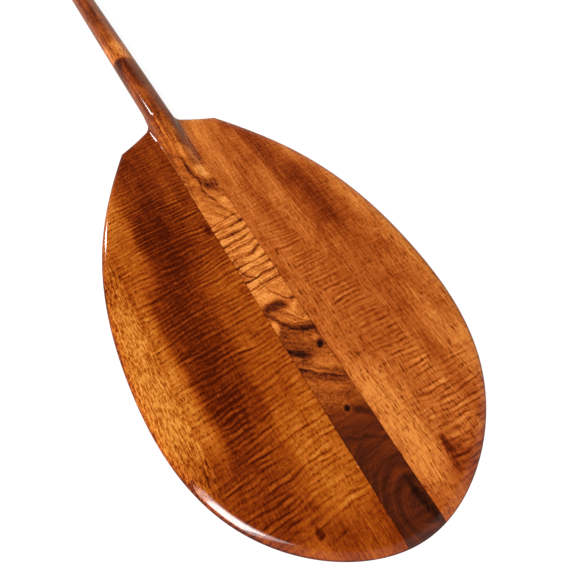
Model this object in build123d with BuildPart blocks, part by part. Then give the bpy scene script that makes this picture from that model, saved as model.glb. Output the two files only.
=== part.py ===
"""Single-blade wooden outrigger paddle: a shaft whose blank runs on down the middle of the blade,
two wing boards glued to its sides on dowels, and a T-grip mortised onto its top and pinned.

Millimetres. +Y runs from the blade's tip to the grip, +Z is the face side, and the blade's flat
back lies at z = 0.
"""

import os

from build123d import *

# Overall sizes
overall_length = 1270.0
blade_half_width = 140.0
tip_y = -overall_length / 2

# Blade outline: (half-width, distance from the tip)
rim_stations = [(62.0, 20.0), (117.0, 80.0), (blade_half_width, 200.0), (116.5, 340.0)]
shoulder_corner = (55.5, 452.0)
rim_direction_at_shoulder = (-0.57, 0.82)
shoulder_corner_radius = 5.0
shoulder_hollow = 1.2
neck_corner = (14.0, 473.5)
neck_flare_radius = 9.0

# Blade thickness: a flat back, a face crowned across the width, and a rounded rim
blade_thickness = 11.0
crown_radius = 7000.0
rim_radius = 4.5

# The strip of the shaft's blank between the seams, and the tongue that fades out under the shaft
strip_half_width = 15.7
tongue_half_width = 6.0
tongue_end = 530.0
tongue_end_radius = 5.0

# Shaft: (radius, distance from the tip), and the ridge that carries it onto the blade's face
shaft_axis_z = 14.0
shaft_radius_at_neck = 14.0
shaft_stations = [(12.8, 755.0), (12.6, 1050.0)]
shaft_radius_at_grip = 13.2
ridge_sections = [
    # distance below the neck, half-width, bottom height, top height
    (0.0, 14.0, 0.0, 28.0),
    (25.0, 14.2, 1.0, 25.6),
    (55.0, 14.0, 2.0, 20.0),
    (85.0, 12.5, 3.0, 14.6),
    (115.0, 9.5, 4.0, 11.4),
    (140.0, 7.0, 5.0, 10.4),
]

# T-grip: a cross-bar with rounded ends on a boss
grip_joint = 1201.0
grip_bar_bottom = 1241.0
grip_bar_top = 1267.0
grip_crown = 3.0
grip_half_length = 59.0
grip_end_radius = 12.4
grip_thickness = 27.0
grip_edge_radius = 12.0
grip_boss_half_width = 13.4
grip_fork_radius = 16.0

# Tenon on the shaft's top, and the pin that crosses it
tenon_radius = 8.0
tenon_length = 28.0
pin_radius = 2.5
pin_from_joint = 15.0

# Dowels across the two glue seams
dowel_radius = 2.0
dowel_length = 24.0
dowel_height = 5.2
dowel_end_chamfer = 0.4
dowel_distances = [60.0, 170.0, 280.0, 390.0]

# Room left for glue
glue_gap = 0.05
glue_space = 0.5

neck_y = tip_y + neck_corner[1]
grip_joint_y = tip_y + grip_joint

os.makedirs("parts", exist_ok=True)


def save(builder, name):
    """Label a finished piece and write it as its own STEP file."""
    builder.part.label = name
    export_step(builder.part, f"parts/{name}.step")


def from_tip(half_width, distance):
    """Turn a half-width and a distance from the tip into x and y."""
    return (half_width, tip_y + distance)


def cut_dowel_holes(side):
    """Bore the row of dowel holes across one seam of the active part."""
    bore_length = dowel_length + 2 * glue_space
    with BuildSketch(Plane.YZ.offset(side * strip_half_width - bore_length / 2)) as holes:
        with Locations(*[(tip_y + distance, dowel_height) for distance in dowel_distances]):
            Circle(dowel_radius + glue_gap)
    extrude(holes.sketch, amount=bore_length, mode=Mode.SUBTRACT)


def cut_pin_hole():
    """Bore the grip pin's hole right through the active part."""
    with BuildSketch() as hole:
        with Locations((0, grip_joint_y + pin_from_joint)):
            Circle(pin_radius + glue_gap)
    extrude(hole.sketch, amount=blade_half_width, mode=Mode.SUBTRACT)


# The whole blade, before it is divided at the seams
with BuildPart() as blade:
    with BuildSketch() as blade_outline:
        with BuildLine():
            Spline(
                from_tip(0, 0),
                *[from_tip(*station) for station in rim_stations],
                from_tip(*shoulder_corner),
                tangents=[(1, 0), rim_direction_at_shoulder],
                tangent_scalars=[1, 1],
            )
            SagittaArc(from_tip(*shoulder_corner), from_tip(*neck_corner), shoulder_hollow)
            Line(from_tip(*neck_corner), from_tip(tongue_half_width, tongue_end))
            mirror(about=Plane.YZ)
            Line(from_tip(-tongue_half_width, tongue_end), from_tip(tongue_half_width, tongue_end))
        make_face()
        shoulder_corners, neck_corners, tongue_corners = blade_outline.vertices().group_by(Axis.Y)
        fillet(shoulder_corners, radius=shoulder_corner_radius)
        fillet(neck_corners, radius=neck_flare_radius)
        fillet(tongue_corners, radius=tongue_end_radius)
    extrude(amount=blade_thickness)
    with BuildSketch(Plane.XZ):
        with Locations((0, blade_thickness - crown_radius)):
            Circle(crown_radius)
    extrude(amount=overall_length, both=True, mode=Mode.INTERSECT)
    back = blade.faces().sort_by(Axis.Z)[0]
    face = blade.faces().sort_by(Axis.Z)[-1]
    fillet(back.edges() + face.edges(), radius=rim_radius)

# The wings: everything outside the two seams
with BuildPart() as left_wing:
    add(blade.part)
    split(bisect_by=Plane.YZ.offset(-strip_half_width), keep=Keep.BOTTOM)
    cut_dowel_holes(-1)
save(left_wing, "left_wing")

with BuildPart() as right_wing:
    add(blade.part)
    split(bisect_by=Plane.YZ.offset(strip_half_width), keep=Keep.TOP)
    cut_dowel_holes(1)
save(right_wing, "right_wing")

# The spine: the blade's centre strip, the ridge, the shaft and its tenon, in one piece
with BuildPart() as spine_shaft:
    add(blade.part)
    split(bisect_by=Plane.YZ.offset(strip_half_width), keep=Keep.BOTTOM)
    split(bisect_by=Plane.YZ.offset(-strip_half_width), keep=Keep.TOP)
    for below_neck, half_width, bottom, top in ridge_sections:
        with BuildSketch(Plane.XZ.offset(below_neck - neck_y)):
            with Locations((0, (bottom + top) / 2)):
                Ellipse(half_width, (top - bottom) / 2)
    loft()
    with BuildSketch(Plane.XY.offset(shaft_axis_z)):
        with BuildLine():
            Spline(
                (shaft_radius_at_neck, neck_y),
                *[from_tip(*station) for station in shaft_stations],
                (shaft_radius_at_grip, grip_joint_y),
                tangents=[(0, 1), (0, 1)],
            )
            Polyline(
                (shaft_radius_at_grip, grip_joint_y),
                (tenon_radius, grip_joint_y),
                (tenon_radius, grip_joint_y + tenon_length),
                (0, grip_joint_y + tenon_length),
                (0, neck_y),
                (shaft_radius_at_neck, neck_y),
            )
        make_face()
    revolve(axis=Axis((0, 0, shaft_axis_z), (0, 1, 0)))
    cut_dowel_holes(-1)
    cut_dowel_holes(1)
    cut_pin_hole()
save(spine_shaft, "spine_shaft")

# The T-grip, with the blind mortise for the tenon
with BuildPart() as t_grip:
    with BuildSketch(Plane.XY.offset(shaft_axis_z - grip_thickness / 2)) as grip_outline:
        with BuildLine():
            Polyline(
                from_tip(grip_half_length, grip_bar_top),
                from_tip(grip_half_length, grip_bar_bottom),
                from_tip(grip_boss_half_width, grip_bar_bottom - grip_crown),
                from_tip(grip_boss_half_width, grip_joint),
            )
            mirror(about=Plane.YZ)
            Line(from_tip(-grip_boss_half_width, grip_joint), from_tip(grip_boss_half_width, grip_joint))
            ThreePointArc(
                from_tip(-grip_half_length, grip_bar_top),
                from_tip(0, grip_bar_top + grip_crown),
                from_tip(grip_half_length, grip_bar_top),
            )
        make_face()
        joint_ends, fork_corners, *bar_ends = grip_outline.vertices().group_by(Axis.Y)
        fillet(fork_corners, radius=grip_fork_radius)
        fillet([corner for pair in bar_ends for corner in pair], radius=grip_end_radius)
    extrude(amount=grip_thickness)
    joint_face = t_grip.faces().sort_by(Axis.Y)[0]
    back = t_grip.faces().sort_by(Axis.Z)[0]
    face = t_grip.faces().sort_by(Axis.Z)[-1]
    fillet((back.edges() + face.edges()) - joint_face.edges(), radius=grip_edge_radius)
    with BuildSketch(Plane.XZ.offset(-grip_joint_y)):
        with Locations((0, shaft_axis_z)):
            Circle(tenon_radius + glue_gap)
    extrude(amount=-(tenon_length + glue_space), mode=Mode.SUBTRACT)
    cut_pin_hole()
save(t_grip, "t_grip")

# The pin, flush with the grip's boss on both sides
with BuildPart() as grip_pin:
    with BuildSketch(Plane.XY.offset(shaft_axis_z - grip_thickness / 2)):
        with Locations((0, grip_joint_y + pin_from_joint)):
            Circle(pin_radius)
    extrude(amount=grip_thickness)
save(grip_pin, "grip_pin")

# The dowels, half in the strip and half in a wing
for side, side_name in ((-1, "left"), (1, "right")):
    for number, distance in enumerate(dowel_distances, start=1):
        with BuildPart() as dowel:
            with BuildSketch(Plane.YZ.offset(side * strip_half_width - dowel_length / 2)):
                with Locations((tip_y + distance, dowel_height)):
                    Circle(dowel_radius)
            extrude(amount=dowel_length)
            chamfer(dowel.edges().filter_by(GeomType.CIRCLE), length=dowel_end_chamfer)
        save(dowel, f"{side_name}_dowel_{number}")
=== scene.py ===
"""Looks of the wooden outrigger paddle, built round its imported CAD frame.

The shapes are worked out in millimetres, with distances along the blade counted from its tip, and
are turned into metres in the CAD's frame when a mesh is made.
"""

import math

import bmesh
import bpy
import numpy as np
from mathutils import Matrix, Vector


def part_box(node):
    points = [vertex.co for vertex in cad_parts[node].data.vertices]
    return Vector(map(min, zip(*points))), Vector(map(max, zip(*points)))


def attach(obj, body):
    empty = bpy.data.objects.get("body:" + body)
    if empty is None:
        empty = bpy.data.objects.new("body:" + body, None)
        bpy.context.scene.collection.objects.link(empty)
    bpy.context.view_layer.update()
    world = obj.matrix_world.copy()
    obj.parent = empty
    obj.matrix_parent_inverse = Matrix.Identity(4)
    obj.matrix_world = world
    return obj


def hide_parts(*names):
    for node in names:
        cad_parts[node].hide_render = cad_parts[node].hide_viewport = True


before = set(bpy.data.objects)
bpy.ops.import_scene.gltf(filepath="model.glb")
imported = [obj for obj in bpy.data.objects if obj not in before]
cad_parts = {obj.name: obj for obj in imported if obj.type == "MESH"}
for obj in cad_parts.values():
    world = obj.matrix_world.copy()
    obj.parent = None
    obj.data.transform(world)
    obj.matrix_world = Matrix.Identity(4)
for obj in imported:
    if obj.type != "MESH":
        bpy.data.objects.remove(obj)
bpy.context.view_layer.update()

MM = 0.001

# ---- Sizes, in millimetres ----

spine_low, spine_high = (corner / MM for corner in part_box("spine_shaft"))
left_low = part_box("left_wing")[0] / MM
wing_low, wing_high = (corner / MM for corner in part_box("right_wing"))
grip_low, grip_high = (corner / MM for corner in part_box("t_grip"))
pin_low, pin_high = (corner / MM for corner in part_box("grip_pin"))

TIP_Y = spine_low.y
SEAM_X = wing_low.x
HALF_WIDTH = min(wing_high.x, -left_low.x)
JOINT_Y = grip_low.y - TIP_Y

# half-width, distance from the tip
RIM_STATIONS = [(0, 0), (62, 20), (117, 80), (HALF_WIDTH, 200), (116.5, 340), (55.5, 452)]
RIM_DIRECTION_AT_SHOULDER = (-0.57, 0.82)
SHOULDER_RADIUS = 5.0
SHOULDER_HOLLOW = 1.2
NECK_CORNER = (14.0, 473.5)
NECK_FLARE_RADIUS = 9.0
TONGUE_END = (6.0, 530.0)

BLADE_THICKNESS = 11.0
CROWN_RADIUS = 7000.0
RIM_RADIUS = 4.5
FACE_ROUNDING = 9.0
SEAM_BEVEL = 0.05

SHAFT_AXIS_Z = 14.0
# radius, distance from the tip
SHAFT_STATIONS = [(14.0, 473.5), (12.8, 755.0), (12.6, 1050.0), (13.2, JOINT_Y)]
RIDGE_STATIONS = [
    # distance from the tip, half-width, bottom height, top height
    (333.5, 7.0, 5.0, 10.4),
    (358.5, 8.0, 4.0, 11.0),
    (388.5, 9.5, 3.0, 13.2),
    (418.5, 11.0, 2.0, 17.2),
    (448.5, 12.8, 1.0, 23.4),
    (473.5, 14.0, 0.0, 28.0),
]
RIDGE_FILLET = 8.0

JOINT_EDGE_RADIUS = 12.9
TENON_RADIUS = 8.0
TENON_LENGTH = 28.0
TENON_EDGE = 0.5
GRIP_HALF_HEIGHT = 15.0
BOSS_RADIUS = 13.28

# Stretches of the blade, as distances from the tip
TIP_CURVE = (0, 30)
SHOULDER = RIM_STATIONS[-1][1]
NECK_STRETCH = (430, 500)

# ---- Curves ----


def spline(points, start, end, count):
    """Cubic spline through points, spaced by chord length, with the given end derivatives."""
    points = np.array(points, float)
    steps = np.linalg.norm(np.diff(points, axis=0), axis=1)
    knots = np.concatenate([[0], np.cumsum(steps)])
    size = len(points)
    matrix = np.eye(size)
    right = np.zeros_like(points)
    right[0] = start
    right[-1] = end
    for i in range(1, size - 1):
        before, after = 1 / steps[i - 1], 1 / steps[i]
        matrix[i, i - 1 : i + 2] = before, 2 * (before + after), after
        rise_before = (points[i] - points[i - 1]) * before**2
        rise_after = (points[i + 1] - points[i]) * after**2
        right[i] = 3 * (rise_before + rise_after)
    slopes = np.linalg.solve(matrix, right)
    places = np.linspace(0, knots[-1], count)
    span = np.clip(np.searchsorted(knots, places, side="right") - 1, 0, size - 2)
    width = steps[span][:, None]
    t = ((places - knots[span]) / steps[span])[:, None]
    return (
        (2 * t**3 - 3 * t**2 + 1) * points[span]
        + (t**3 - 2 * t**2 + t) * width * slopes[span]
        + (3 * t**2 - 2 * t**3) * points[span + 1]
        + (t**3 - t**2) * width * slopes[span + 1]
    )


def unit(vector):
    """The vector's direction, with a length of 1."""
    return vector / np.linalg.norm(vector)


def round_corner(before, after, radius, count=14):
    """Join two polylines that meet at a corner with an arc of the given radius."""
    corner = before[-1]
    back = unit(before[-4] - corner)
    ahead = unit(after[3] - corner)
    half_angle = math.acos(np.dot(back, ahead)) / 2
    setback = radius / math.tan(half_angle)
    centre = corner + unit(back + ahead) * radius / math.sin(half_angle)
    first = corner + back * setback - centre
    last = corner + ahead * setback - centre
    turn = math.acos(np.dot(unit(first), unit(last)))
    t = np.linspace(0, 1, count)[:, None]
    arc = centre + (np.sin((1 - t) * turn) * first + np.sin(t * turn) * last) / math.sin(turn)
    kept_before = before[np.linalg.norm(before - corner, axis=1) > setback * 1.02]
    kept_after = after[np.linalg.norm(after - corner, axis=1) > setback * 1.02]
    return np.concatenate([kept_before, arc, kept_after])


def shallow_arc(start, end, sagitta, count=30):
    """A nearly straight line from start to end that is hollowed by sagitta on its left."""
    start, end = np.array(start, float), np.array(end, float)
    t = np.linspace(0, 1, count)[:, None]
    left = np.array([-(end - start)[1], (end - start)[0]]) / np.linalg.norm(end - start)
    return start + (end - start) * t + left * sagitta * 4 * t * (1 - t)


def right_outline():
    """The right side of the blade's outline in plan, from the tip to under the shaft."""
    rim = spline(RIM_STATIONS, (1, 0), RIM_DIRECTION_AT_SHOULDER, 420)
    shoulder = shallow_arc(RIM_STATIONS[-1], NECK_CORNER, SHOULDER_HOLLOW)
    tongue = shallow_arc(NECK_CORNER, TONGUE_END, 0)
    outline = round_corner(rim, shoulder, SHOULDER_RADIUS)
    cut = np.argmin(np.linalg.norm(outline - shoulder[-1], axis=1)) + 1
    return round_corner(outline[:cut], tongue, NECK_FLARE_RADIUS)


OUTLINE = right_outline()


def crossing(half_width, lowest, highest):
    """The distance from the tip at which the outline passes half_width, between two distances."""
    for first, second in zip(OUTLINE[:-1], OUTLINE[1:]):
        inside = lowest <= first[1] <= highest
        if inside and (first[0] - half_width) * (second[0] - half_width) <= 0 and first[0] != second[0]:
            share = (half_width - first[0]) / (second[0] - first[0])
            return first[1] + share * (second[1] - first[1])
    raise ValueError("the outline doesn't pass that half-width there")


def rim_distance(x, y):
    """How far a point in plan is inside the outline."""
    points = np.stack([np.abs(np.ravel(x)), np.ravel(y)], axis=1)
    result = np.full(len(points), np.inf)
    starts, ends = OUTLINE[:-1], OUTLINE[1:]
    along = ends - starts
    length2 = (along**2).sum(1)
    batch = 4000
    for low in range(0, len(points), batch):
        part = points[low : low + batch, None, :]
        t = np.clip(((part - starts) * along).sum(2) / length2, 0, 1)[:, :, None]
        gap = np.linalg.norm(part - (starts + along * t), axis=2)
        result[low : low + batch] = gap.min(1)
    return result.reshape(np.shape(x))


# ---- Surfaces ----


def smoothstep(low, high, value):
    """0 at low and 1 at high, where low may be the larger."""
    t = np.clip((value - low) / (high - low), 0, 1)
    return t * t * (3 - 2 * t)


def smooth_min(first, second, width):
    """The smaller of two distances, rounded where they are closer than width."""
    overlap = np.maximum(width - np.abs(first - second), 0)
    return np.minimum(first, second) - overlap**2 / (4 * np.maximum(width, 1e-6))


def station_curve(stations, column):
    """A smooth function of the distance from the tip, through one column of a table of stations."""
    points = [(row[0], row[column]) for row in stations]
    dense = spline(points, (1, 0), (1, 0), 400)
    return lambda distance: np.interp(distance, dense[:, 0], dense[:, 1])


ridge_half_width = station_curve(RIDGE_STATIONS, 1)
ridge_bottom = station_curve(RIDGE_STATIONS, 2)
ridge_top = station_curve(RIDGE_STATIONS, 3)
shaft_radius = station_curve([(distance, radius) for radius, distance in SHAFT_STATIONS], 1)


def rounding(distance):
    """How far the rounded rim falls away from the flat at a distance inside the outline."""
    inward = np.clip(RIM_RADIUS - distance, 0, RIM_RADIUS)
    return RIM_RADIUS - np.sqrt(RIM_RADIUS**2 - inward**2)


def hand_finish(x, y):
    """The faint waves that scraping and sanding leave on the blade's face."""
    return 0.05 * np.sin(x / 17 + y / 41) + 0.04 * np.sin(y / 23 - x / 29 + 1.3)


def slab_top(x, y):
    """The height of the blade's crowned face, away from its rim."""
    return BLADE_THICKNESS - x**2 / (2 * CROWN_RADIUS) + hand_finish(x, y) - 0.09


def slab_gap(x, y, z, distance):
    """How far a point is outside the blade. Its face eases down to the rim; its back is rounded."""
    half = slab_top(x, y) / 2
    easing = np.where(z > half, FACE_ROUNDING, RIM_RADIUS)
    beyond_rim = np.maximum(1 - distance / easing, 0) * RIM_RADIUS
    beyond_face = np.maximum(np.abs(z - half) - (half - RIM_RADIUS), 0)
    return np.hypot(beyond_rim, beyond_face) - RIM_RADIUS


def ridge_gap(x, y, z):
    """Roughly how far a point is outside the ridge or the shaft."""
    on_shaft = y > RIDGE_STATIONS[-1][0]
    half_width = np.where(on_shaft, shaft_radius(y), ridge_half_width(y))
    low = np.where(on_shaft, SHAFT_AXIS_Z - shaft_radius(y), ridge_bottom(y))
    high = np.where(on_shaft, SHAFT_AXIS_Z + shaft_radius(y), ridge_top(y))
    half_height = (high - low) / 2
    reach = np.sqrt((x / half_width) ** 2 + ((z - (low + high) / 2) / half_height) ** 2)
    before_ridge = np.maximum(RIDGE_STATIONS[0][0] - y, 0)
    return (reach - 1) * np.minimum(half_width, half_height) + before_ridge


def body_gap(x, y, z, distance):
    """How far a point is outside the blade and the shaft, joined by a hollow fillet."""
    fillet = RIDGE_FILLET * smoothstep(335, 450, y) * smoothstep(515, 474, y)
    return smooth_min(slab_gap(x, y, z, distance), ridge_gap(x, y, z), fillet)


def last_inside(gap_at, near, far, halvings=24):
    """How far along its ray each point leaves the body, between two lengths of the ray."""
    for _ in range(halvings):
        middle = (near + far) / 2
        inside = gap_at(middle) < 0
        near = np.where(inside, middle, near)
        far = np.where(inside, far, middle)
    return (near + far) / 2


def face_height(x, y, distance):
    """The height of the blade's face, with the hollow that blends it into the ridge."""
    middle = np.full(x.shape, BLADE_THICKNESS / 2)
    above_ridge = middle + 26
    inside = np.maximum(distance, 0.001)
    return last_inside(lambda z: body_gap(x, y, z, inside), middle, above_ridge)


# ---- Meshes ----

# How far inside the outline each line of the rounded rim lies
RIM_INSETS = RIM_RADIUS * (1 - np.cos(np.linspace(0, math.pi / 2, 9)))


def add_object(name, data):
    """Put an object with this data into the scene."""
    thing = bpy.data.objects.new(name, data)
    bpy.context.scene.collection.objects.link(thing)
    return thing


def add_mesh(name, points, faces):
    """Make an object from points in millimetres and faces, shaded smooth but for its sharp edges."""
    points = np.array(points, float) * MM
    points[:, 1] += TIP_Y * MM
    mesh = bpy.data.meshes.new(name)
    mesh.from_pydata(points.tolist(), [], faces)
    builder = bmesh.new()
    builder.from_mesh(mesh)
    bmesh.ops.remove_doubles(builder, verts=builder.verts, dist=1e-7)
    bmesh.ops.recalc_face_normals(builder, faces=builder.faces)
    builder.to_mesh(mesh)
    builder.free()
    mesh.shade_smooth()
    mesh.set_sharp_from_angle(angle=math.radians(35))
    return add_object(name, mesh)


def tube_faces(rows, columns):
    """The faces of a tube of closed rings. Its ends are strips between the two halves of a ring."""
    faces = []
    for row in range(rows - 1):
        for column in range(columns):
            beside = (column + 1) % columns
            base = row * columns
            faces.append([base + column, base + beside, base + columns + beside, base + columns + column])
    for base in (0, (rows - 1) * columns):
        for column in range(columns // 2 - 1):
            across = base + columns - 1 - column
            faces.append([base + column, base + column + 1, across - 1, across])
    return faces


def make_wing(name, side):
    """A wing board: rings that each run round one cross-section, from the seam to the rim and back."""
    start = crossing(SEAM_X, *TIP_CURVE)
    end = crossing(SEAM_X, *NECK_STRETCH)
    kept = OUTLINE[(OUTLINE[:, 1] > start) & (OUTLINE[:, 1] < end) & (OUTLINE[:, 0] > SEAM_X)]
    outline = np.concatenate([[(SEAM_X, start)], kept, [(SEAM_X, end)]])
    run = np.concatenate([[0], np.cumsum(np.linalg.norm(np.diff(outline, axis=0), axis=1))])
    ring_count = 430
    steps = np.linspace(0, run[-1], ring_count)
    outline = np.stack([np.interp(steps, run, outline[:, i]) for i in (0, 1)], axis=1)
    along = np.gradient(outline, axis=0)
    along /= np.linalg.norm(along, axis=1)[:, None]
    inward = np.stack([-along[:, 1], along[:, 0]], axis=1)

    rim = outline[:, None, :] + inward[:, None, :] * RIM_INSETS[None, :, None]
    rim[:, :, 0] = np.maximum(rim[:, :, 0], SEAM_X)
    inset = rim[:, -1, :]
    even_y = np.interp(steps, [0, run[-1]], [inset[0, 1], inset[-1, 1]])
    level_y = np.maximum.accumulate(np.clip(inset[:, 1], inset[0, 1], inset[-1, 1]))
    seam = np.stack([np.full(ring_count, SEAM_X + SEAM_BEVEL), (even_y + level_y) / 2], axis=1)
    seam[:, 0] = np.minimum(seam[:, 0], inset[:, 0])
    share = np.linspace(0, 1, 34)[None, 1:, None] ** 1.5
    inner = inset[:, None, :] + (seam[:, None, :] - inset[:, None, :]) * share
    plan = np.concatenate([rim, inner], axis=1)
    x, y = plan[:, :, 0], plan[:, :, 1]
    distance = rim_distance(x, y)
    top = face_height(x, y, distance)
    bottom = rounding(distance)
    wall_x = np.full((ring_count, 1), SEAM_X)
    wall_y = seam[:, 1:]
    wall_top = top[:, -1:] - SEAM_BEVEL
    wall_bottom = bottom[:, -1:] + SEAM_BEVEL
    ring_x = np.concatenate([wall_x, x[:, ::-1], x, wall_x], axis=1)
    ring_y = np.concatenate([wall_y, y[:, ::-1], y, wall_y], axis=1)
    ring_z = np.concatenate([wall_bottom, bottom[:, ::-1], top, wall_top], axis=1)
    ring_x = side * np.minimum(ring_x, HALF_WIDTH)
    points = np.stack([ring_x, ring_y, ring_z], axis=2).reshape(-1, 3)
    return add_mesh(name, points, tube_faces(*ring_x.shape))


def strip_rings():
    """Rings of the strip between the wings, from the tip to the neck, seam to seam."""
    neck = crossing(SEAM_X, *NECK_STRETCH) - 0.05
    straight, ridge = TIP_CURVE[1], 330
    levels = np.concatenate(
        [
            RIM_INSETS,
            np.arange(6, straight, 2),
            np.arange(straight, ridge, 5),
            np.arange(ridge, SHOULDER, 2),
            np.linspace(SHOULDER, neck, 16),
        ]
    )
    u = np.linspace(-1, 1, 61)
    across = (SEAM_X - SEAM_BEVEL) * (u + 0.45 * np.sin(math.pi * u) / math.pi)[::-1]
    tip_side = OUTLINE[OUTLINE[:, 1] < straight]
    rise = np.interp(np.abs(across), tip_side[:, 0], tip_side[:, 1])
    y = levels[:, None] + rise * (1 - smoothstep(*TIP_CURVE, levels))[:, None]
    x = np.broadcast_to(across, y.shape)
    distance = rim_distance(x, y)
    top = face_height(x, y, distance)
    bottom = rounding(distance)
    wall = np.full((len(levels), 1), SEAM_X)
    ring_x = np.concatenate([wall, x, -wall, -wall, x[:, ::-1], wall], axis=1)
    ring_y = np.concatenate([y[:, :1], y, y[:, -1:], y[:, -1:], y[:, ::-1], y[:, :1]], axis=1)
    wall_top = top[:, :1] - SEAM_BEVEL
    wall_bottom = bottom[:, :1] + SEAM_BEVEL
    ring_z = np.concatenate([wall_top, top, wall_top, wall_bottom, bottom, wall_bottom], axis=1)
    return np.stack([ring_x, ring_y, ring_z], axis=2)


def shaft_rings(first):
    """Rings of the shaft, whose rays start where the strip's last ring ends and spread out evenly."""
    growing_steps = np.array([0.4, 1.0, 1.8, 2.8, 4.0, 5.5])
    past_tongue = 540
    levels = np.concatenate(
        [
            first[0, 1] + growing_steps,
            np.arange(480, past_tongue, 2),
            np.arange(past_tongue, JOINT_Y - 3, 8),
            [JOINT_Y - 0.3],
        ]
    )[:, None]
    neck_side = OUTLINE[OUTLINE[:, 1] > SHOULDER]
    spread = smoothstep(levels[0], TONGUE_END[1] + 20, levels)
    start_z = BLADE_THICKNESS
    start = np.unwrap(np.arctan2(first[:, 2] - start_z, first[:, 0]))
    even = np.linspace(start[0], start[0] + 2 * math.pi * (1 - 1 / len(start)), len(start))
    angle = start * (1 - spread) + even * spread
    centre_z = start_z + (SHAFT_AXIS_Z - start_z) * spread
    y = np.broadcast_to(levels, angle.shape)

    def gap_at(reach):
        x = np.cos(angle) * reach
        z = centre_z + np.sin(angle) * reach
        half_width = np.interp(y, neck_side[:, 1], neck_side[:, 0])
        far_outside = -99.0
        distance = np.full(x.shape, far_outside)
        near = y < TONGUE_END[1] + 12
        inside = (np.abs(x) < half_width) & (y < TONGUE_END[1])
        distance[near] = rim_distance(x[near], y[near]) * np.where(inside[near], 1, -1)
        over_end = near & (y > TONGUE_END[1]) & (np.abs(x) < TONGUE_END[0])
        distance[over_end] = TONGUE_END[1] - y[over_end]
        return body_gap(x, y, z, distance)

    clear_of_body = 30.0
    reach = last_inside(gap_at, np.zeros(angle.shape), np.full(angle.shape, clear_of_body))
    z = np.maximum(centre_z + np.sin(angle) * reach, 0)
    return np.stack([np.cos(angle) * reach, y, z], axis=2)


def make_spine():
    """The strip of the blade, the ridge, the shaft and the tenon on its end, in one piece of wood."""
    strip = strip_rings()
    shaft = shaft_rings(strip[-1])
    tenon = []
    for y, radius in (
        (JOINT_Y, JOINT_EDGE_RADIUS),
        (JOINT_Y, TENON_RADIUS),
        (JOINT_Y + TENON_LENGTH - TENON_EDGE, TENON_RADIUS),
        (JOINT_Y + TENON_LENGTH, TENON_RADIUS - TENON_EDGE),
    ):
        ring = shaft[-1].copy()
        shrink = radius / np.hypot(ring[:, 0], ring[:, 2] - SHAFT_AXIS_Z)
        ring[:, 0] *= shrink
        ring[:, 2] = SHAFT_AXIS_Z + (ring[:, 2] - SHAFT_AXIS_Z) * shrink
        ring[:, 1] = y
        tenon.append(ring)
    rings = np.concatenate([strip, shaft, np.array(tenon)])
    rings[:, :, 2] = np.minimum(rings[:, :, 2], spine_high.z)
    return add_mesh("visual_spine_shaft", rings.reshape(-1, 3), tube_faces(*rings.shape[:2]))


def make_grip():
    """The T-grip: a smooth cross-bar whose underside opens into the boss over the shaft's end.

    It is a cage of eight-sided rings that is then subdivided, which draws each ring in a little.
    """
    sides = 8
    ring_shrink = 2 / 3 + math.cos(math.pi / 4) / 3
    bar_y = grip_high.y - TIP_Y - GRIP_HALF_HEIGHT
    bar_rings = [
        # distance from the middle, height in y, height in z
        (0.0, GRIP_HALF_HEIGHT, 13.5),
        (17.0, 14.6, 13.4),
        (34.0, 14.0, 13.1),
        (49.0, 13.2, 12.6),
        (56.5, 10.8, 10.4),
        (grip_high.x + 0.6, 5.5, 5.2),
    ]
    rows = [(-x, a, b) for x, a, b in bar_rings[:0:-1]] + bar_rings
    corners = [math.radians(-90 + 45 * i) for i in range(sides)]
    points = []
    for x, height_y, height_z in rows:
        for angle in corners:
            y = bar_y + math.sin(angle) * height_y / ring_shrink
            z = SHAFT_AXIS_Z + math.cos(angle) * height_z / ring_shrink
            points.append((x, y, z))
    middle = len(bar_rings) - 1
    faces = [list(range(sides)), list(range((len(rows) - 1) * sides, len(rows) * sides))]
    for row in range(len(rows) - 1):
        for column in range(sides):
            under = row in (middle - 1, middle) and column in (7, 0)
            if not under:
                beside = (column + 1) % sides
                base = row * sides
                faces.append([base + column, base + beside, base + sides + beside, base + sides + column])
    mouth = ((-1, 7), (0, 7), (1, 7), (1, 0), (1, 1), (0, 1), (-1, 1), (-1, 0))
    last = [(middle + step) * sides + column for step, column in mouth]
    boss_rings = [
        # distance from the tip, radius
        (bar_y - 24, 13.9),
        (bar_y - 36, 13.4),
        (JOINT_Y + 2.0, 13.2),
        (JOINT_Y + 0.4, 13.2),
        (JOINT_Y, JOINT_EDGE_RADIUS),
    ]
    for y, radius in boss_rings:
        ring = []
        for i in range(sides):
            angle = math.radians(-135 + 45 * i)
            ring.append(len(points))
            x = math.cos(angle) * radius / ring_shrink
            z = SHAFT_AXIS_Z + math.sin(angle) * radius / ring_shrink
            points.append((x, y, z))
        for i in range(sides):
            beside = (i + 1) % sides
            faces.append([last[i], last[beside], ring[beside], ring[i]])
        last = ring
    faces.append(last)
    grip = add_mesh("visual_t_grip", points, faces)
    smooth = grip.modifiers.new("smooth", "SUBSURF")
    smooth.levels = smooth.render_levels = 4
    rounded = bpy.data.meshes.new_from_object(grip.evaluated_get(bpy.context.evaluated_depsgraph_get()))
    grip.modifiers.clear()
    grip.data = rounded
    rounded.shade_smooth()
    rounded.set_sharp_from_angle(angle=math.radians(50))
    return grip


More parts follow.
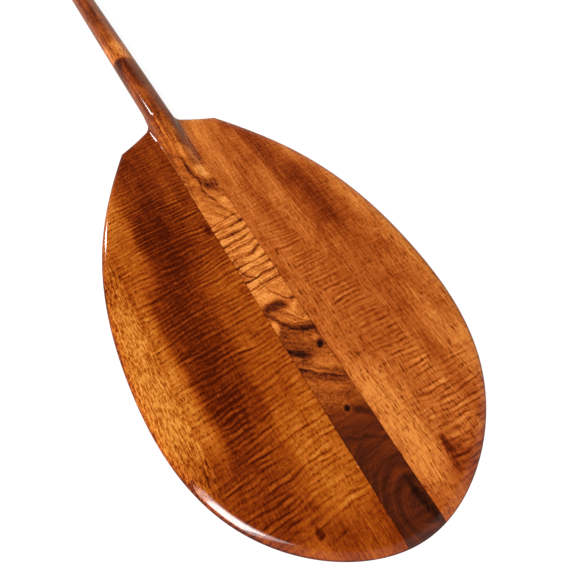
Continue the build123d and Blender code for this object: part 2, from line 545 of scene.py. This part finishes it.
def make_pin():
    """The wooden pin through the grip, sanded flush with the round boss at both ends."""
    radius = pin_high.x
    middle_y = (pin_low.y + pin_high.y) / 2 - TIP_Y
    around = np.linspace(0, 2 * math.pi, 33)[:-1]
    rings = []
    for side, shares in ((-1, (0.45, 0.8, 0.93, 0.985)), (1, (0.985, 0.93, 0.8, 0.45))):
        for share in shares:
            x = radius * share * np.cos(around)
            y = middle_y + radius * share * np.sin(around)
            soft_edge = 0.12 if share > 0.98 else 0.0
            z = SHAFT_AXIS_Z + side * (np.sqrt(BOSS_RADIUS**2 - x**2) - soft_edge)
            rings.append(np.stack([x, y, z], axis=1))
    rings = np.array(rings)
    return add_mesh("visual_grip_pin", rings.reshape(-1, 3), tube_faces(*rings.shape[:2]))


left_wing = make_wing("visual_left_wing", -1)
right_wing = make_wing("visual_right_wing", 1)
spine = make_spine()
grip = make_grip()
pin = make_pin()

# ---- Node building ----


class Field:
    """A number that varies over a surface: the output of a shader node, with arithmetic."""

    def __init__(self, socket):
        self.socket = socket

    def __add__(self, other):
        return calculate("ADD", self, other)

    def __sub__(self, other):
        return calculate("SUBTRACT", self, other)

    def __mul__(self, other):
        return calculate("MULTIPLY", self, other)

    def __rsub__(self, other):
        return calculate("SUBTRACT", other, self)

    __radd__ = __add__
    __rmul__ = __mul__


def set_inputs(node, **values):
    """Give a node's inputs uniform values. An underscore stands for each space in an input's name."""
    for name, value in values.items():
        node.inputs[name.replace("_", " ")].default_value = value


def feed(tree, socket, value):
    """Give a socket a number, or link a field to it."""
    if isinstance(value, Field):
        tree.links.new(value.socket, socket)
    else:
        socket.default_value = value


def tree_of(*values):
    """The node tree that the first field among the values is in."""
    return next(value.socket.id_data for value in values if isinstance(value, Field))


def calculate(operation, *values):
    """One step of arithmetic on fields and numbers."""
    tree = tree_of(*values)
    node = tree.nodes.new("ShaderNodeMath")
    node.operation = operation
    for socket, value in zip(node.inputs, values):
        feed(tree, socket, value)
    return Field(node.outputs[0])


def soft_step(low, high, value):
    """0 below low and 1 above high, or the reverse where low is the larger."""
    tree = tree_of(value)
    node = tree.nodes.new("ShaderNodeMapRange")
    node.interpolation_type = "SMOOTHSTEP"
    swap = low > high
    feed(tree, node.inputs["Value"], value)
    set_inputs(node, From_Min=min(low, high), From_Max=max(low, high))
    set_inputs(node, To_Min=float(swap), To_Max=float(not swap))
    return Field(node.outputs[0])


def blend(first, second, share):
    """From first to second, by a share."""
    return first + (second - first) * share


def noise(x, y, z=0.0, detail=2.0, roughness=0.5):
    """Smooth noise from -0.5 to 0.5 whose waves are about one unit of x, y and z apart."""
    tree = tree_of(x, y)
    place = tree.nodes.new("ShaderNodeCombineXYZ")
    for socket, value in zip(place.inputs, (x, y, z)):
        feed(tree, socket, value)
    node = tree.nodes.new("ShaderNodeTexNoise")
    set_inputs(node, Scale=1.0, Detail=detail, Roughness=roughness)
    tree.links.new(place.outputs[0], node.inputs["Vector"])
    return Field(node.outputs[0]) - 0.5


def sine(value, length):
    """A sine wave of a value, with crests a length apart."""
    return calculate("SINE", value * (math.tau / length))


def colour_ramp(value, stops, interpolation="LINEAR"):
    """A colour that changes with a value, through stops that are each a value and a colour."""
    tree = tree_of(value)
    node = tree.nodes.new("ShaderNodeValToRGB")
    ramp = node.color_ramp
    ramp.interpolation = interpolation
    while len(ramp.elements) < len(stops):
        ramp.elements.new(0.5)
    for element, (place, colour) in zip(ramp.elements, stops):
        element.position = place
        element.color = (*colour, 1)
    feed(tree, node.inputs[0], value)
    return Field(node.outputs[0])


def curve(value, scale, stops, interpolation="EASE"):
    """A smooth curve of a value through stops, each a value and the number there, from 0 to 1."""
    greys = [(place / scale, (number, number, number)) for place, number in stops]
    return colour_ramp(value * (1 / scale), greys, interpolation)


def stops_of(places, hundredths):
    """The stops of a curve, from its places and the numbers there in hundredths."""
    return [(place, number / 100) for place, number in zip(places, hundredths)]


def path(value, stops):
    """A flowing line through stops, each a value and the number there. Both may be of any size."""
    first, last = stops[0][0], stops[-1][0]
    low = min(number for place, number in stops)
    high = max(number for place, number in stops)
    shares = [(place - first, (number - low) / (high - low)) for place, number in stops]
    return curve(value - first, last - first, shares, "CARDINAL") * (high - low) + low


def linear(channel):
    """A display value from 0 to 255 as light."""
    share = channel / 255
    return share / 12.92 if share <= 0.04045 else ((share + 0.055) / 1.055) ** 2.4


def paint(tone, palette):
    """A wood colour for each tone. The palette holds what the wood looks like in full light."""
    stops = [(place, [linear(channel) / FULL_LIGHT for channel in shown]) for place, shown in palette]
    return colour_ramp(tone, stops)


def spot(x, y, centre, size, lean=0.0):
    """A soft oval, 1 at its centre. Its lean is how far its top leans towards +X, in degrees."""
    turn = math.radians(lean)
    dx, dy = x - centre[0], y - centre[1]
    across = (dx * math.cos(turn) - dy * math.sin(turn)) * (1 / size[0])
    along = (dx * math.sin(turn) + dy * math.cos(turn)) * (1 / size[1])
    return soft_step(1.25, 0.35, calculate("SQRT", across * across + along * along))


def line(offset, width):
    """A soft line where an offset is 0."""
    return soft_step(width, width * 0.15, calculate("ABSOLUTE", offset))


# ---- Materials ----

FULL_LIGHT = 1.3
WHITE = (1.0, 1.0, 1.0)
WARM = (1.0, 0.60, 0.42)

LEFT_PALETTE = (
    (0.12, (70, 17, 1)),
    (0.20, (103, 32, 3)),
    (0.27, (130, 49, 7)),
    (0.33, (152, 65, 11)),
    (0.41, (175, 85, 18)),
    (0.49, (195, 107, 31)),
    (0.57, (213, 129, 46)),
    (0.64, (229, 149, 62)),
)
RIGHT_PALETTE = (
    (0.12, (72, 20, 4)),
    (0.26, (127, 47, 11)),
    (0.32, (147, 61, 16)),
    (0.40, (173, 82, 26)),
    (0.44, (184, 93, 32)),
    (0.48, (195, 103, 39)),
    (0.53, (207, 115, 47)),
    (0.62, (230, 141, 61)),
)
SPINE_PALETTE = (
    (0.07, (34, 12, 5)),
    (0.17, (80, 31, 13)),
    (0.23, (106, 41, 13)),
    (0.32, (141, 62, 18)),
    (0.41, (171, 84, 27)),
    (0.50, (199, 108, 40)),
    (0.59, (223, 131, 55)),
    (0.70, (246, 162, 81)),
)


def start_wood(name):
    """A lacquered wood material, and its x, distance from the tip and z in millimetres."""
    material = bpy.data.materials.new(name)
    material.use_nodes = True
    tree = material.node_tree
    shader = tree.nodes["Principled BSDF"]
    set_inputs(shader, Specular_IOR_Level=0.0, Coat_Weight=1.0, Coat_Roughness=0.085, Coat_IOR=1.45)
    place = tree.nodes.new("ShaderNodeTexCoord")
    split = tree.nodes.new("ShaderNodeSeparateXYZ")
    tree.links.new(place.outputs["Object"], split.inputs[0])
    x, y, z = (Field(socket) * (1 / MM) for socket in split.outputs)
    return material, x, y - TIP_Y, z


def finish_wood(material, tone, palette, relief):
    """Colour the wood by its tone, and let the pores and the figure show as faint relief."""
    tree = material.node_tree
    shader = tree.nodes["Principled BSDF"]
    feed(tree, shader.inputs["Base Color"], paint(tone, palette))
    feed(tree, shader.inputs["Roughness"], 0.42 - relief * 0.3)
    bump = tree.nodes.new("ShaderNodeBump")
    set_inputs(bump, Strength=0.35, Distance=0.15 * MM)
    feed(tree, bump.inputs["Height"], relief)
    tree.links.new(bump.outputs[0], shader.inputs["Normal"])
    return material


def straight_grain(across, along, seed):
    """Long streaks: broad ones, fine ones, short fibres, and the sharp edges of growth rings."""
    broad = noise(across * 0.11, along * 0.006, seed, 2.0)
    fine = noise(across * 0.42, along * 0.012, seed + 7.0, 3.0, 0.65)
    thread = noise(across * 1.0, along * 0.04, seed + 23.0, 1.0)
    fibre = noise(across * 0.8, along * 0.17, seed + 13.0, 3.0, 0.75)
    rings = calculate("FRACT", across * 0.085 + noise(across * 0.03, along * 0.004, seed + 17.0) * 3.0)
    edge = soft_step(0.72, 1.0, rings)
    return broad * 0.20 + fine * 0.34 + thread * 0.36 + fibre * 0.48 - edge * 0.05


def curl(across, along, seed):
    """The ripples across the grain that curly koa shows: rounded crests with narrow dark valleys."""
    drift = noise(across * 0.016, along * 0.02, seed, 2.0) * 16.0
    waver = drift + noise(across * 0.07, along * 0.08, seed + 1.0, 1.0) * 3.6
    wave = sine(along + waver, 4.7)
    second = sine(along + drift * 0.6 + across * 0.04, 7.9)
    fine = noise(across * 0.12, (along + waver) * 0.5, seed + 2.0, 3.0, 0.65)
    strength = calculate("MAXIMUM", noise(across * 0.045, along * 0.09, seed + 3.0, 2.0) * 3.8 + 0.7, 0.08)
    valley = soft_step(-0.35, -1.0, wave)
    return (wave * 0.28 - valley * 0.42 + second * 0.25) * strength + fine * 2.3


def pores(across, along, seed, length=5.0):
    """Short dark dashes along the grain."""
    dash = noise(across * 0.8, along * (1 / length), seed, 3.0, 0.8)
    return soft_step(0.02, 0.14, dash)


def painted_rim_shade(z):
    """1 on the blade's rim, which is darkened there as painted shade, where the rounded edge turns away from
    the light.
    """
    return soft_step(9.0, 7.0, z) * soft_step(1.0, 4.0, z)


def wing_wood(name, side, palette, bands, curl_field, spots):
    """Koa for a wing. Both wings share one grain, mirrored, because they are sawn from one board."""
    material, x, y, z = start_wood(name)
    out = x * float(side)
    wander = noise(out * 0.02, y * 0.006, 2.0) * 16.0
    grain_x = out + wander
    tone = None
    for level, (takes_over, places, hundredths) in enumerate(bands):
        band = curve(grain_x, 160, stops_of(places, hundredths))
        tone = band if level == 0 else blend(tone, band, soft_step(*takes_over, y + wander * 2.0))
    ripple = curl(out, y + out * 0.05, 11.0)
    figured = curl_field(out, y)
    open_grain = soft_step(0.36, 0.52, tone)
    if side > 0:
        open_grain = open_grain * soft_step(420, 200, y)
    flecks = pores(out, y, 4.0, 5.0 if side < 0 else 10.0) * (open_grain * 0.24 + 0.06)
    if side < 0:
        figured, flecks, tone = outer_band(grain_x, out, y, figured, flecks, tone)
    shimmer = noise(out * 0.5, y * 0.35, 51.0, 2.0, 0.7)
    streaky = calculate("MAXIMUM", 1.1 - figured * 8.0, 0.3) * soft_step(-60, 90, y)
    mottle = noise(out * 0.07, y * 0.05, 9.0, 3.0)
    tone = tone + straight_grain(grain_x, y, 21.0) * streaky + mottle * 0.20 + shimmer * 0.20
    tone = tone + ripple * figured - flecks
    rough_x = out + noise(out * 0.16, y * 0.16, 31.0, 3.0) * 4.0
    rough_y = y + noise(out * 0.16, y * 0.16, 37.0, 3.0) * 6.0
    for centre, size, change in spots:
        tone = tone + spot(rough_x, rough_y, centre, size) * change
    seam = soft_step(SEAM_X + 0.5, SEAM_X, out)
    # The seam's dark glue line, and painted shade that darkens the rim's edge.
    tone = tone - seam * 0.16 - painted_rim_shade(z) * 0.18
    return finish_wood(material, tone, palette, ripple * 0.3 - flecks * 4.0)


def outer_band(grain_x, out, y, figured, flecks, tone):
    """The open-pored band at the left wing's rim: less curl, many short dark flecks, a line inside it."""
    inside = soft_step(107, 111, grain_x) * soft_step(345, 300, y) * soft_step(70, 120, y)
    dashes = soft_step(-0.06, 0.10, noise(out * 0.75, y * 0.13, 71.0, 3.0, 0.75))
    tone = tone - line(grain_x - 107.5, 2.6) * soft_step(345, 300, y) * soft_step(90, 140, y) * 0.07
    return figured * (1.0 - inside * 0.65), blend(flecks, dashes * 0.24 - 0.04, inside), tone


def left_curl(out, y):
    """How strong the curl is on the left wing, where it fades at the tip and towards the neck."""
    inner = soft_step(108, 84, out)
    fading = soft_step(10, 60, y) * (1.0 - soft_step(350, 410, y) * 0.4)
    return (0.12 + inner * 0.025) * fading


def right_curl(out, y):
    """How strong the curl is on the right wing, which has a ladder of it and more at the foot."""
    lower = soft_step(125, 60, y) * soft_step(38, 60, out)
    off_ladder = out - 51.0 - (204.0 - y) * 0.17
    ladder = soft_step(17, 8, calculate("ABSOLUTE", off_ladder)) * soft_step(330, 230, y)
    return 0.04 + calculate("MAXIMUM", lower, ladder * 0.85) * 0.15


# The bands of figure in each wing, from the tip up: the distances from the tip over which each takes
# over from the one before, then distances from the middle, and the tones there in hundredths
LEFT_BANDS = (
    ((0, 0), (16, 30, 45, 62, 78, 100), (29, 34, 30, 34, 36, 32)),
    ((28, 55), (16, 30, 46, 60, 75, 92, 108, 122), (44, 45, 45, 31, 27, 26, 30, 44)),
    ((105, 150), (16, 42, 60, 76, 90, 104, 120, 136), (37, 36, 23, 18, 21, 54, 60, 57)),
    ((185, 225), (16, 42, 60, 76, 90, 104, 120, 136), (39, 35, 23, 19, 25, 49, 59, 49)),
    ((240, 300), (16, 32, 60, 74, 88, 104, 120, 134), (28, 28, 16, 20, 42, 42, 43, 37)),
    ((335, 385), (16, 32, 48, 62, 75, 92, 110), (27, 29, 23, 24, 32, 50, 52)),
)
RIGHT_BANDS = (
    ((0, 0), (16, 30, 45, 60, 80), (44, 46, 35, 31, 32)),
    ((15, 40), (16, 30, 45, 60, 78, 90, 105, 122), (56, 63, 51, 46, 51, 39, 54, 61)),
    ((105, 140), (16, 30, 45, 60, 78, 92, 108, 120, 136), (46, 47, 44, 41, 43, 39, 44, 47, 58)),
    ((225, 265), (16, 30, 45, 60, 76, 90, 106, 122), (45, 47, 40, 52, 31, 28, 40, 56)),
    ((325, 375), (16, 30, 45, 58, 72, 88, 105), (45, 52, 41, 43, 31, 40, 55)),
    ((400, 440), (16, 30, 45, 60, 75), (50, 55, 47, 38, 40)),
)

# Knots and patches: the centre, the size and the change of tone
LEFT_SPOTS = (
    ((62, 40), (7, 10), -0.03),
    ((63, 40), (3.2, 5.5), -0.18),
    ((19, 310), (3.5, 8), -0.16),
)
RIGHT_SPOTS = (
    ((49, 40), (8, 15), -0.06),
    ((62, 34), (20, 13), -0.07),
    ((49, 42), (3.4, 9), -0.20),
    ((46, 27), (2.8, 5), -0.12),
    ((104, 140), (9, 30), 0.09),
)

left_material = wing_wood("left_wing_koa", -1, LEFT_PALETTE, LEFT_BANDS, left_curl, LEFT_SPOTS)
right_material = wing_wood("right_wing_koa", 1, RIGHT_PALETTE, RIGHT_BANDS, right_curl, RIGHT_SPOTS)


def strip_features(x, y, slow_x, slow_y, waver_x, waver_y):
    """The knots, veins and patches of the strip, and painted shade on the ridge's two flanks, each as a mask
    and the change it makes to the tone.
    """
    vein_stops = ((337, 3.5), (350, 0.0), (358, -1.5), (372, -0.5), (392, -4.5), (420, -4.0), (475, -3.5))
    upper_vein = slow_x - path(y, vein_stops)
    lower_vein = slow_x - path(y, ((300, 13.5), (320, 8.0), (345, 2.0)))
    hook = slow_y - path(x, ((-16, 257), (-12, 247), (-4, 238), (-1.5, 225), (5, 214), (14, 207)))
    fold = slow_y - path(x, ((-16, 203), (-9, 193), (-3, 184), (3, 178), (14, 172)))
    first_ray = slow_y - path(x, ((-8, 201), (2, 188), (14, 181)))
    second_ray = slow_y - path(x, ((0, 203), (10, 187), (14, 184)))
    smear = slow_y - path(x, ((-16, 164), (-8, 158), (0, 152)))
    pale_edge = slow_y - path(x, ((-16, 147.5), (-5, 140.5), (2, 135.5)))
    dark_edge = slow_y - path(x, ((-16, 144), (-6, 137), (7, 128), (15, 123.5)))
    low_edge = slow_y - path(x, ((-16, 139), (-5, 132), (7, 124.5), (15, 120)))
    stain = slow_y - path(x, ((0, 99), (10, 94), (16, 90)))
    foot_line = slow_y - path(x, ((-14, 82), (-5, 77), (2, 76), (15, 68)))
    # Painted shade: darkens the ridge's left flank, left of the vein.
    left_flank_shade = soft_step(0.5, 4.0, upper_vein * -1.0) * soft_step(352, 376, y) * soft_step(475, 450, y)
    # Painted shade: darkens the ridge's right flank, which faces away from the light.
    right_flank_shade = soft_step(6.0, 12.0, waver_x) * soft_step(398, 408, y) * soft_step(500, 470, y)
    beside_vein = soft_step(5.5, 0.5, upper_vein) * soft_step(-0.5, 0.5, upper_vein) * soft_step(366, 376, y)
    flowing = noise(upper_vein * 0.34, y * 0.02, 33.0, 3.0, 0.6)
    flowing = flowing * soft_step(335, 365, y) * soft_step(490, 460, y)
    return (
        # the vein up the middle to the neck, the wood beside it, and painted shade on the ridge's two flanks
        (vein(upper_vein, 1.5, y) * soft_step(334, 342, y) * (soft_step(450, 400, y) * 0.8 + 0.2), -0.16),
        (beside_vein * soft_step(425, 400, y), -0.09),
        (flowing, 0.55),
        (spot(waver_x, waver_y, (4, 412), (7, 16), -20), 0.13),
        (vein(lower_vein, 1.2, y) * soft_step(299, 306, y) * soft_step(348, 338, y), -0.14),
        # painted shade on the ridge's left and right flanks
        (left_flank_shade, -0.05),
        (right_flank_shade, -0.05),
        (spot(waver_x, waver_y, (12, 405), (4, 10)), -0.10),
        # the pale bulge and the dark eye below it
        (spot(waver_x, waver_y, (7, 382), (9, 12), -35), 0.22),
        (spot(slow_x, y, (8.5, 360), (9.0, 9.0), 25), -0.17),
        (spot(waver_x, waver_y, (2.5, 362), (4.0, 5.0)), -0.04),
        (spot(waver_x, waver_y, (10, 337), (8, 4), 80), 0.10),
        (spot(waver_x, waver_y, (10, 324), (8, 6), 40), 0.05),
        (spot(x, y, (0.4, 367.5), (1.8, 2.4)), -0.12),
        # the hooked line and the patches round it
        (vein(hook, 1.4, x), -0.24),
        (spot(x, slow_y, (-7, 219), (11, 8)), 0.08),
        (spot(x, slow_y, (3, 262), (10, 13)), 0.07),
        (spot(x, slow_y, (-14, 256), (5, 16)), -0.07),
        (spot(x, slow_y, (12.5, 208), (3.4, 2.4), -60), -0.14),
        (spot(waver_x, slow_y, (-4, 206), (17, 6.0), 8) * soft_step(10.0, 3.0, x), -0.29),
        (spot(waver_x, slow_y, (9.5, 200), (4.0, 5.0)), 0.12),
        # pale rays and the dark fold below them
        (line(first_ray, 2.0) * soft_step(-4, 0, x), 0.14),
        (line(second_ray, 1.8) * soft_step(0, 4, x), 0.16),
        (line(fold, 5.5), -0.16),
        (vein(fold + 1.5, 2.6, x), -0.05),
        (spot(x, slow_y, (-14.5, 187.5), (4.4, 7.5), 25), 0.30),
        (line(fold + 14.0, 1.0) * soft_step(-6, -10, x), -0.12),
        (line(fold + 18.0, 0.9) * soft_step(-6, -10, x), -0.10),
        # the upper knot and the smear to its left
        (spot(x, y, (11.0, 164), (3.0, 3.0)), 0.16),
        (spot(x, y, (10.8, 157), (3.9, 3.0), -50), -0.36),
        (spot(x, slow_y, (10, 169), (7, 5), 60), 0.06),
        (line(smear, 6.5) * soft_step(5, -7, x), -0.24),
        (spot(waver_x, slow_y, (4, 143), (5.5, 13), -55), 0.06),
        # the edge of the brown wood
        (line(pale_edge, 1.3) * soft_step(4, 0, x), 0.10),
        (line(dark_edge, 3.6), -0.13),
        (spot(x, slow_y, (-11, 148), (10, 8)), -0.05),
        (spot(x, slow_y, (10, 113), (8, 8), 60), -0.08),
        (vein(dark_edge - 1.2, 1.1, x), -0.12),
        (vein(low_edge, 1.1, x), -0.12),
        # the lower knot in its pale ring, and the dark foot
        (spot(x, y, (0.4, 101.5), (4.2, 4.6)), 0.05),
        (spot(x, y, (0.4, 101.5), (2.5, 2.9)), -0.30),
        (line(stain, 5.5) * soft_step(0, 7, x), -0.10),
        (line(foot_line, 2.6), -0.045),
        (spot(slow_x, y, (11.0, 21), (3.8, 22), -6), -0.07),
        (spot(slow_x, slow_y, (9.5, 31), (3.2, 4.5)), -0.05),
    )


def vein(offset, width, along):
    """A line that swells and fades along its length, with a soft stain beside it."""
    uneven = noise(along * 0.22, offset * 0.05, 61.0, 2.0) * 1.2 + 0.75
    return line(offset, width) * uneven + line(offset, width * 3.0) * 0.3


def strip_wood(x, y):
    """The tone of the strip between the wings, which is cut from wilder wood than they are."""
    slow_x = x + noise(x * 0.06, y * 0.03, 3.0, 2.0) * 6.0
    waver_x = slow_x + noise(x * 0.25, y * 0.2, 5.0, 2.0) * 2.0
    slow_y = y + noise(x * 0.06, y * 0.03, 8.0, 1.0) * 10.0
    waver_y = slow_y + noise(x * 0.25, y * 0.2, 6.0, 2.0) * 3.0
    places = (20, 80, 99, 113, 145, 160, 176, 196, 218, 310, 335, 372, 440, 490)
    tones = (17, 19, 26, 38, 40, 33, 34, 48, 55, 55, 51, 43, 41, 30)
    tone = curve(waver_y + x * 0.35, 520, stops_of(places, tones))
    level_y = y - x * 0.06 + noise(x * 0.05, y * 0.05, 15.0, 2.0) * 7.0
    pale_zone = soft_step(322, 306, level_y) * soft_step(218, 236, level_y)
    dark_foot = soft_step(112, 92, waver_y)
    wave = sine(level_y + noise(x * 0.02, y * 0.04, 19.0) * 14.0, 9.0)
    swell = noise(x * 0.07, level_y * 0.09, 12.0, 1.0) * 2.4 + 0.7
    valley = soft_step(-0.35, -1.0, wave) * swell
    fine_wave = sine(level_y, 3.1)
    cross = noise(x * 0.05, level_y * 0.30, 18.0, 3.0, 0.65)
    tone = tone + (fine_wave * 0.05 + wave * 0.05 - valley * 0.22) * pale_zone
    tone = tone + cross * (0.16 + pale_zone * 0.65)

    downhill = waver_y + x * 0.72
    middle = soft_step(108, 125, downhill) * soft_step(215, 195, downhill)
    flow = noise(waver_x * 0.05, downhill * 0.11, 27.0, 4.0, 0.62)
    silk = noise(waver_x * 0.25, downhill * 0.4, 25.0, 4.0, 0.75)
    speckle = noise(x * 0.55, y * 0.55, 47.0, 2.0, 0.6)
    streaks = noise(waver_x * 0.32, waver_y * 0.018, 29.0, 3.0, 0.65) * soft_step(355, 395, y)
    calm = 1.0 - dark_foot * 0.82
    swirled = soft_step(298, 318, y) * soft_step(400, 375, y)
    swirl = noise(waver_x * 0.11, (waver_y + waver_x * 0.7) * 0.13, 53.0, 3.0, 0.6)
    hairs = noise(x * 0.95, y * 0.07, 57.0, 2.0, 0.7)
    tone = tone + swirl * swirled * 0.55 + hairs * pale_zone * 0.34
    tone = tone + (flow * (0.22 + middle * 0.34) + silk * 0.40 + speckle * 0.34) * calm + streaks * 0.45
    rings = calculate("SQRT", (x - 8) * (x - 8) * 1.3 + (waver_y - 18) * (waver_y - 18) * 0.7)
    ring_lines = noise(rings * 0.20, x * 0.02, 41.0, 2.0, 0.6)
    tone = tone + ring_lines * soft_step(92, 62, waver_y) * 0.32
    for mask, change in strip_features(x, y, slow_x, slow_y, waver_x, waver_y):
        tone = tone + mask * change
    return tone, silk


def shaft_wood(x, y, z):
    """The tone of the shaft, with dark blotches and one golden band that ends sharply."""
    places = (0, 30, 62, 97, 102, 128, 146, 220, 300, 400)
    tones = (29, 31, 25, 22, 50, 52, 34, 30, 36, 32)
    tone = curve(y - 480.0 + x * 0.35, 420, stops_of(places, tones))
    blotches = noise(x * 0.09, y * 0.022, z * 0.09, 3.0)
    streaks = noise(x * 0.4, y * 0.012, z * 0.4, 3.0, 0.6)
    fibre = noise(x * 0.8, y * 0.12, z * 0.8, 2.0, 0.7)
    golden = soft_step(578, 586, y + x * 0.35) * soft_step(632, 612, y + x * 0.35)
    return tone + blotches * 0.42 + streaks * (golden * 0.4 + 0.40) + fibre * (golden * 0.3 + 0.40)


def spine_wood():
    """Koa for the one blank that makes the strip and the shaft."""
    material, x, y, z = start_wood("spine_koa")
    on_strip = soft_step(490, 455, y)
    strip_tone, silk = strip_wood(x, y)
    tone = blend(shaft_wood(x, y, z), strip_tone, on_strip)
    flecks = pores(x, y, 48.0) * soft_step(70, 120, y)
    seam = soft_step(SEAM_X - 0.5, SEAM_X, calculate("ABSOLUTE", x)) * on_strip
    # The seam's dark glue line, and painted shade that darkens the rim near the tip.
    tone = tone - seam * 0.16 - flecks * 0.09 - painted_rim_shade(z) * soft_step(40, 20, y) * 0.12
    return finish_wood(material, tone, SPINE_PALETTE, silk * 0.3 - flecks)


def plain_wood(name, along_x, shift):
    """Koa for the grip and the dowels, whose grain runs along x or along y."""
    material, x, y, z = start_wood(name)
    along, across = (x, y) if along_x else (y, x)
    wander = noise(along * 0.01, z * 0.03, shift) * 10.0
    streaks = noise((across + wander) * 0.35, along * 0.012, (z + wander) * 0.35, 4.0, 0.6)
    broad = noise((across + wander) * 0.08, along * 0.008, z * 0.08 + shift, 2.0)
    ripple = noise(across * 0.03, along * 0.16, z * 0.03 + shift, 1.0)
    flecks = soft_step(0.12, 0.26, noise(across * 1.1, along * 0.12, z * 1.1, 1.0))
    tone = 0.33 + broad * 0.22 + streaks * 0.16 + ripple * 0.07 - flecks * 0.05
    return finish_wood(material, tone, SPINE_PALETTE, streaks * 0.3 - flecks)


spine_material = spine_wood()
grip_material = plain_wood("grip_koa", True, 5.0)
dowel_material = plain_wood("dowel_koa", False, 9.0)

# ---- Camera, floor and light ----


def add_camera():
    """A camera close to the tip that looks along the blade to the shaft."""
    azimuth = math.radians(-28.5)
    elevation = math.radians(60.7)
    roll = math.radians(-2.0)
    distance = 411.6 * MM
    aim = Vector((16.3 * MM, (TIP_Y + 219.2) * MM, 5.0 * MM))
    level = math.cos(elevation)
    back = Vector((math.sin(azimuth) * level, -math.cos(azimuth) * level, math.sin(elevation)))
    right = (-back).cross(Vector((0, 0, 1))).normalized()
    up = right.cross(-back)
    rolled_right = math.cos(roll) * right + math.sin(roll) * up
    rolled_up = math.cos(roll) * up - math.sin(roll) * right
    data = bpy.data.cameras.new("camera")
    data.sensor_width = 36
    data.lens = 28.6
    data.clip_start = 0.01
    camera = add_object("camera", data)
    turn = Matrix((rolled_right, rolled_up, back)).transposed().to_4x4()
    camera.matrix_world = Matrix.Translation(aim + back * distance) @ turn
    bpy.context.scene.camera = camera


def seen_by_camera(tree):
    """1 where the camera looks straight at a thing, and 0 in light and mirrors."""
    return Field(tree.nodes.new("ShaderNodeLightPath").outputs["Is Camera Ray"])


def add_floor():
    """A white sweep that glows a little, so that its shadows stay faint.

    The camera sees the glow as white. In what the floor lights, and in mirrors, it is warm.
    """
    half = 6.0
    height = -0.0002
    mesh = bpy.data.meshes.new("floor")
    corners = [(-half, -half, height), (half, -half, height), (half, half, height), (-half, half, height)]
    mesh.from_pydata(corners, [], [(0, 1, 2, 3)])
    floor = add_object("floor", mesh)
    material = bpy.data.materials.new("floor_paper")
    material.use_nodes = True
    tree = material.node_tree
    shader = tree.nodes["Principled BSDF"]
    set_inputs(shader, Base_Color=(0.14, 0.14, 0.14, 1), Roughness=1.0, Specular_IOR_Level=0.0)
    seen = seen_by_camera(tree)
    feed(tree, shader.inputs["Emission Color"], colour_ramp(seen, ((0, WARM), (1, WHITE))))
    feed(tree, shader.inputs["Emission Strength"], seen * 0.45 + 0.48)
    mesh.materials.append(material)


def add_softbox(name, place, target, size, radiance):
    """A rectangular softbox of the given radiance that faces a target. Lengths are in metres."""
    data = bpy.data.lights.new(name, "AREA")
    data.shape = "RECTANGLE"
    data.size, data.size_y = size
    data.energy = radiance * math.pi * size[0] * size[1]
    light = add_object(name, data)
    light.location = place
    light.rotation_euler = (Vector(target) - Vector(place)).to_track_quat("-Z", "Y").to_euler()


def add_room():
    """A room that is dark overhead, so that it doesn't veil the blade, and white to the camera.

    Its walls are dim, but it is bright behind the camera and glows warm ahead on the right.
    """
    world = bpy.data.worlds.new("room")
    world.use_nodes = True
    tree = world.node_tree
    place = tree.nodes.new("ShaderNodeTexCoord")
    split = tree.nodes.new("ShaderNodeSeparateXYZ")
    tree.links.new(place.outputs["Generated"], split.inputs[0])
    right, ahead, height = (Field(socket) for socket in split.outputs)
    walls = curve(height, 1.0, ((0.0, 0.22), (0.25, 0.14), (0.5, 0.05), (1.0, 0.03)))
    bright_side = soft_step(-0.02, 0.03, right - height * 0.52) * soft_step(0.66, 0.5, height)
    behind = soft_step(0.05, -0.35, ahead) * soft_step(0.97, 0.85, height)
    warm_side = bright_side * soft_step(0.3, 0.6, ahead)
    strength = walls + warm_side * 0.75 + behind * 0.45
    seen = seen_by_camera(tree)
    strength = blend(strength, 1.0, seen)
    background = tree.nodes["Background"]
    warmth = warm_side * (1.0 - seen)
    feed(tree, background.inputs["Color"], colour_ramp(warmth, ((0, WHITE), (1, WARM))))
    feed(tree, background.inputs["Strength"], strength)
    bpy.context.scene.world = world


add_camera()
add_floor()
add_room()
blade_middle = (0.0, (TIP_Y + 240) * MM, 0.0)
neck = (-0.01, -0.14, 0.02)
add_softbox("key", (-2.25, -1.14, 2.7), blade_middle, (0.9, 2.1), 20.0)
add_softbox("key_edge", (-2.3, -1.16, 2.76), blade_middle, (1.5, 3.0), 6.5)
add_softbox("glint", (-0.72, 0.90, 0.66), neck, (0.12, 0.36), 30.0)

bpy.context.scene.view_settings.view_transform = "Standard"

# ---- Bodies and finishes ----

for piece, node, slot, material in (
    (left_wing, "left_wing", "left_wing_wood", left_material),
    (right_wing, "right_wing", "right_wing_wood", right_material),
    (spine, "spine_shaft", "spine_wood", spine_material),
    (grip, "t_grip", "grip_wood", grip_material),
    (pin, "grip_pin", "dowel_wood", dowel_material),
):
    piece.data.materials.append(material)
    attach(piece, "root")
    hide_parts(node)

for name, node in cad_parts.items():
    if "dowel" in name:
        for slot in node.material_slots:
            slot.material = dowel_material
